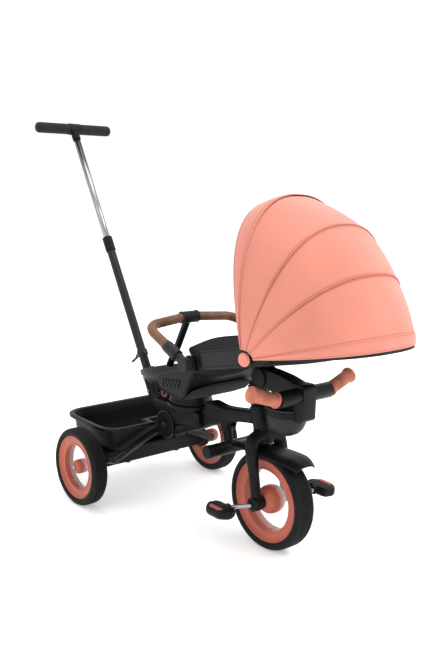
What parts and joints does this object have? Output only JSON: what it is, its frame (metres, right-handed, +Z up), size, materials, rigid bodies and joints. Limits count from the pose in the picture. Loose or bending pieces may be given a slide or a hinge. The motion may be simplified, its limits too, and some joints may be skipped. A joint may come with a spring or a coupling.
{
  "type": "children's tricycle",
  "caption": "Push-along children's tricycle with a turning, reclining seat, folding canopy, guard rail, pedals, rear bin and telescopic handle.",
  "frame": {"origin": "on the ground, in the middle of the outline seen from above", "axes": "+X to the front wheel, +Y to the left, +Z up"},
  "size_m": [1.3001, 0.514, 1.0549],
  "materials": {
    "black_plastic": "satin",
    "grey_plastic": "satin",
    "coral_plastic": "semi-gloss",
    "clear_plastic": "clear",
    "tyre": "matte",
    "axle_steel": "satin",
    "chrome": "polished",
    "grip_rubber": "matte",
    "foam": "matte foam",
    "leather": "smooth",
    "coral_fabric": "woven",
    "pad_fabric": "quilted",
    "webbing": "woven strap",
    "frame_paint": "satin"
  },
  "bodies": {
    "frame": {"main_beam": "black_plastic", "fold_housing": "black_plastic", "fold_pin": "black_plastic", "head_bushes": "grey_plastic", "swivel_base": "black_plastic", "push_socket": "grey_plastic", "frame_screws": "axle_steel", "lower_tube": "frame_paint", "telescope_collar": "black_plastic"},
    "rear_frame": {"axle_beam": "black_plastic", "rear_axle": "axle_steel", "storage_bin": "black_plastic", "fold_lug": "black_plastic", "rear_struts": "frame_paint"},
    "rear_wheel_left": {"rear_tyre_left": "tyre", "rear_wheel_left": "coral_plastic"},
    "rear_wheel_right": {"rear_tyre_right": "tyre", "rear_wheel_right": "coral_plastic"},
    "brake_left": {"brake_lever_left": "black_plastic"},
    "brake_right": {"brake_lever_right": "black_plastic"},
    "steering": {"steerer": "axle_steel", "fork_crown": "black_plastic", "fork_blades": "black_plastic", "mudguard": "black_plastic", "handlebar_stem": "black_plastic"},
    "front_wheel": {"front_tyre": "tyre", "front_rim": "coral_plastic", "front_hub": "coral_plastic", "crank_axle": "chrome"},
    "pedal_left": {"pedal_left": "black_plastic"},
    "pedal_right": {"pedal_right": "black_plastic"},
    "handlebar": {"handlebar_arm": "black_plastic", "handlebar_bar": "axle_steel", "handlebar_pod": "grey_plastic", "handlebar_grips": "grip_rubber"},
    "push_handle": {"upper_tube": "chrome", "handle_tee": "black_plastic", "handle_foam": "foam"},
    "height_button": {"height_button": "black_plastic"},
    "release_lever": {"release_lever": "black_plastic"},
    "swivel_knob": {"swivel_knob": "coral_plastic"},
    "footrest": {"footrest": "black_plastic"},
    "seat": {"seat_pan": "black_plastic", "turntable": "black_plastic", "seat_pad": "pad_fabric", "hub_pins": "grey_plastic"},
    "guard_rail": {"guard_rail": "leather", "rail_sockets": "grey_plastic", "rail_clamp": "black_plastic"},
    "backrest": {"backrest": "black_plastic", "back_pad": "pad_fabric", "harness": "webbing", "canopy_hoop_head": "black_plastic"},
    "canopy_low": {"canopy_hoop_low": "black_plastic", "canopy_panel_head": "coral_fabric"},
    "canopy_high": {"canopy_hoop_high": "black_plastic", "canopy_panel_low": "coral_fabric"},
    "canopy_front": {"canopy_hoop_front": "black_plastic", "canopy_panel_high": "coral_fabric"}
  },
  "joints": [
    {"name": "frame_fold", "type": "hinge", "parent": "frame", "child": "rear_frame", "pos_m": [-0.0896, 0, 0.223], "axis": [0, -1, 0], "range_deg": [0, 75]},
    {"name": "rear_roll_left", "type": "hinge", "parent": "rear_frame", "child": "rear_wheel_left", "pos_m": [-0.2106, 0.234, 0.108], "axis": [0, 1, 0], "continuous": true},
    {"name": "rear_roll_right", "type": "hinge", "parent": "rear_frame", "child": "rear_wheel_right", "pos_m": [-0.2106, -0.234, 0.108], "axis": [0, 1, 0], "continuous": true},
    {"name": "brake_left", "type": "hinge", "parent": "rear_frame", "child": "brake_left", "pos_m": [-0.2486, 0.162, 0.118], "axis": [0, -1, 0], "range_deg": [0, 14]},
    {"name": "brake_right", "type": "hinge", "parent": "rear_frame", "child": "brake_right", "pos_m": [-0.2486, -0.162, 0.118], "axis": [0, -1, 0], "range_deg": [0, 14]},
    {"name": "steer", "type": "hinge", "parent": "frame", "child": "steering", "pos_m": [0.2734, 0, 0.267], "axis": [-0.2656, 0, 0.9641], "range_deg": [-40, 40]},
    {"name": "front_roll", "type": "hinge", "parent": "steering", "child": "front_wheel", "pos_m": [0.3074, 0, 0.125], "axis": [0, 1, 0], "continuous": true},
    {"name": "pedal_turn_left", "type": "hinge", "parent": "front_wheel", "child": "pedal_left", "pos_m": [0.3614, 0.12, 0.143], "axis": [0, 1, 0], "continuous": true},
    {"name": "pedal_turn_right", "type": "hinge", "parent": "front_wheel", "child": "pedal_right", "pos_m": [0.2534, -0.12, 0.107], "axis": [0, 1, 0], "continuous": true},
    {"name": "bar_fold", "type": "hinge", "parent": "steering", "child": "handlebar", "pos_m": [0.2694, 0, 0.43], "axis": [0, -1, 0], "range_deg": [0, 12]},
    {"name": "handle_height", "type": "slide", "parent": "frame", "child": "push_handle", "axis": [-0.509, 0, 0.8607], "range_m": [-0.25, 0]},
    {"name": "button_press", "type": "slide", "parent": "frame", "child": "height_button", "axis": [0.8607, 0, 0.509], "range_m": [0, 0.002], "stiffness_N_per_m": 150},
    {"name": "lever_release", "type": "hinge", "parent": "frame", "child": "release_lever", "pos_m": [-0.27086, 0, 0.38147], "axis": [0, 1, 0], "range_deg": [0, 20], "stiffness_Nm_per_rad": 0.05},
    {"name": "knob_turn", "type": "hinge", "parent": "frame", "child": "swivel_knob", "pos_m": [-0.1086, 0, 0.3095], "axis": [0, 1, 0], "continuous": true},
    {"name": "footrest_fold", "type": "hinge", "parent": "frame", "child": "footrest", "pos_m": [0.1394, 0, 0.266], "axis": [0, 1, 0], "range_deg": [0, 60]},
    {"name": "seat_turn", "type": "hinge", "parent": "frame", "child": "seat", "pos_m": [-0.0206, 0, 0.3], "axis": [0, 0, 1], "range_deg": [-115, 115]},
    {"name": "rail_lift", "type": "hinge", "parent": "seat", "child": "guard_rail", "pos_m": [0.1484, 0, 0.457], "axis": [0, 1, 0], "range_deg": [0, 45]},
    {"name": "recline", "type": "hinge", "parent": "seat", "child": "backrest", "pos_m": [0.1484, 0, 0.457], "axis": [0, -1, 0], "range_deg": [0, 55]},
    {"name": "canopy_fold", "type": "hinge", "parent": "backrest", "child": "canopy_low", "pos_m": [0.4094, 0, 0.522], "axis": [0, 1, 0], "range_deg": [0, 24], "deforming": ["canopy_panel_head"]},
    {"name": "canopy_fold_high", "type": "hinge", "parent": "canopy_low", "child": "canopy_high", "pos_m": [0.4094, 0, 0.522], "axis": [0, 1, 0], "range_deg": [0, 18.5], "deforming": ["canopy_panel_low"]},
    {"name": "canopy_fold_front", "type": "hinge", "parent": "canopy_high", "child": "canopy_front", "pos_m": [0.4094, 0, 0.522], "axis": [0, 1, 0], "range_deg": [0, 20.1], "deforming": ["canopy_panel_high"]}
  ],
  "couplings": [
    {"joint": "canopy_fold_high", "follows": "canopy_fold", "ratio": 0.77},
    {"joint": "canopy_fold_front", "follows": "canopy_fold", "ratio": 0.8375}
  ]
}
